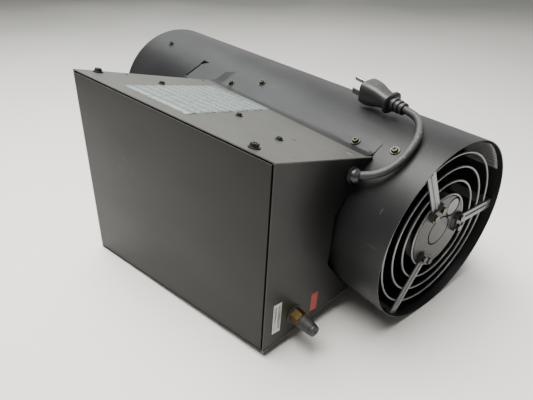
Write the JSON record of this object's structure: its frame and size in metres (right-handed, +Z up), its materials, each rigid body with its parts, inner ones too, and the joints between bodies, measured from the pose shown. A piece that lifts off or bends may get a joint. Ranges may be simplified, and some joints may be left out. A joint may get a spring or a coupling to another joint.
{
  "type": "forced air gas heater",
  "caption": "Forced-air gas heater lying on its side: round tube with guarded fan and burner inside, wedge-shaped sheet-metal console, capped gas inlet and short power lead with plug.",
  "frame": {"origin": "centre of the bounding box at floor level, with the heater lying on its side", "axes": "+X along the tube towards the fan end, +Z up from the floor, -Y towards the base of the console"},
  "size_m": [0.572, 0.3712, 0.247],
  "materials": {
    "tube_paint": "satin",
    "panel_paint": "satin",
    "base_paint": "satin",
    "plate_paint": "satin",
    "chamber_steel": "heat stained",
    "burner_steel": "satin",
    "guard_wire": "zinc plated",
    "clip_plastic": "matte",
    "motor_paint": "satin",
    "fan_aluminium": "satin",
    "shaft_steel": "ground",
    "screw_zinc": "zinc plated",
    "screw_black": "black oxide",
    "fitting_brass": "machined",
    "pipe_copper": "drawn",
    "rubber_black": "matte",
    "cord_rubber": "matte",
    "plug_plastic": "matte",
    "pin_steel": "plated",
    "valve_metal": "cast",
    "control_plastic": "satin",
    "rocker_plastic": "satin",
    "ceramic_white": "glazed",
    "electrode_wire": "drawn",
    "module_plastic": "matte",
    "label_film": "printed film",
    "sticker_film": "printed film",
    "barcode_film": "printed film"
  },
  "bodies": {
    "housing": {"barcode_label": "barcode_film", "base_plate": "base_paint", "base_screws": "screw_black", "burner_bracket": "burner_steel", "burner_cup": "burner_steel", "chamber_spacers": "chamber_steel", "check_sticker": "sticker_film", "combustion_chamber": "chamber_steel", "cord_bushing": "rubber_black", "fan_motor": "motor_paint", "flame_sensor_rod": "electrode_wire", "front_plate": "plate_paint", "gas_nozzle": "fitting_brass", "gas_pipe": "pipe_copper", "gas_valve": "valve_metal", "guard_arm_far": "guard_wire", "guard_arm_lower": "guard_wire", "guard_arm_upper": "guard_wire", "guard_rings": "guard_wire", "igniter_ceramic": "ceramic_white", "igniter_rod": "electrode_wire", "ignition_module": "module_plastic", "inlet_fitting": "fitting_brass", "inlet_grommet": "rubber_black", "lead_bushing": "rubber_black", "lower_side_panel": "panel_paint", "motor_mount_disc": "guard_wire", "mount_clips": "clip_plastic", "mount_nuts": "screw_black", "outer_tube": "tube_paint", "outlet_baffle": "chamber_steel", "output_control": "module_plastic", "panel_screws": "screw_black", "plug_blades": "pin_steel", "plug_body": "plug_plastic", "plug_pin": "pin_steel", "power_cord": "cord_rubber", "rating_label": "label_film", "rear_plate": "plate_paint", "sensor_ceramic": "ceramic_white", "switch_housing": "control_plastic", "tube_screws": "screw_zinc", "upper_side_panel": "panel_paint"},
    "fan": {"fan_wheel": "fan_aluminium", "motor_shaft": "shaft_steel"},
    "cap": {"inlet_cap": "rubber_black"},
    "knob": {"control_knob": "control_plastic", "knob_spindle": "shaft_steel"},
    "rocker": {"switch_rocker": "rocker_plastic"}
  },
  "joints": [
    {"name": "fan_spin", "type": "hinge", "parent": "housing", "child": "fan", "pos_m": [0, 0.07796, 0.106], "axis": [1, 0, 0], "continuous": true},
    {"name": "cap_pull", "type": "slide", "parent": "housing", "child": "cap", "axis": [1, 0, 0], "range_m": [0, 0.02]},
    {"name": "knob_turn", "type": "hinge", "parent": "housing", "child": "knob", "pos_m": [0.096, -0.0321, 0.02183], "axis": [0, 0.1422, -0.9898], "range_deg": [0, 270]},
    {"name": "rocker_tilt", "type": "hinge", "parent": "housing", "child": "rocker", "pos_m": [0.036, -0.03231, 0.02331], "axis": [0, -0.9898, -0.1422], "range_deg": [0, 16]}
  ]
}
